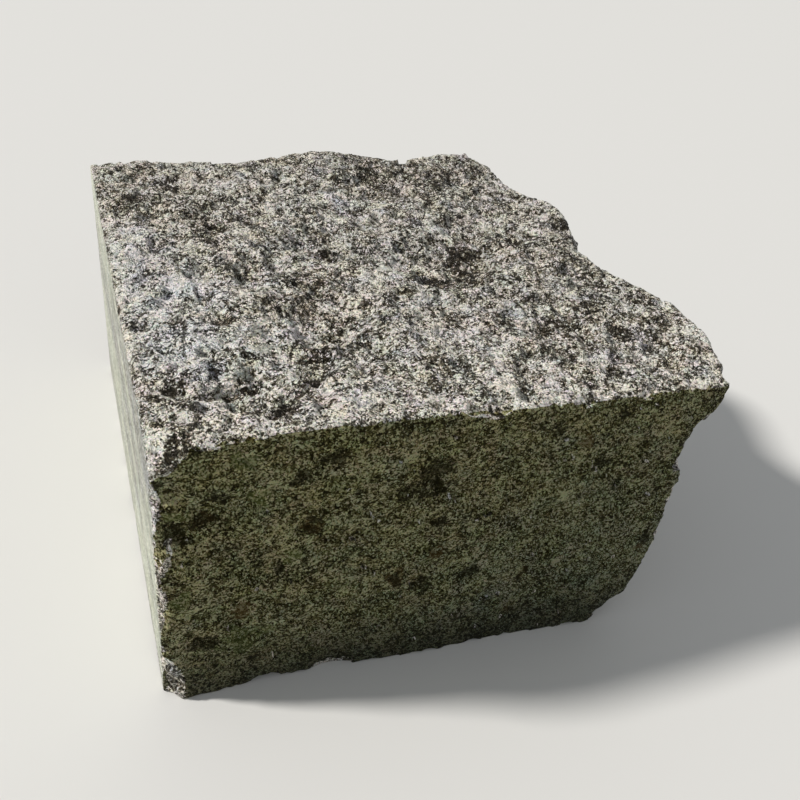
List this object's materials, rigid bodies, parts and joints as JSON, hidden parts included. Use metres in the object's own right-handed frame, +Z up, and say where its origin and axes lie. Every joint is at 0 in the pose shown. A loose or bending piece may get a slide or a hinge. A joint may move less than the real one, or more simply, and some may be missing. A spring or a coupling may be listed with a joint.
{
  "type": "granite sett",
  "caption": "Squat granite paving sett, split on its top, front, back and right sides, sawn on its left side, with a flat bed.",
  "frame": {"origin": "middle of the bed, under the middle of the block's overall sizes", "axes": "+Z up out of the bed, +Y from the front split face to the back, -X out of the sawn side"},
  "size_m": [0.2142, 0.2228, 0.1138],
  "materials": {
    "granite": "rough split granite, black, grey and cream grains, with one smooth sawn side"
  },
  "bodies": {
    "root": {"sett": "granite"}
  },
  "joints": []
}
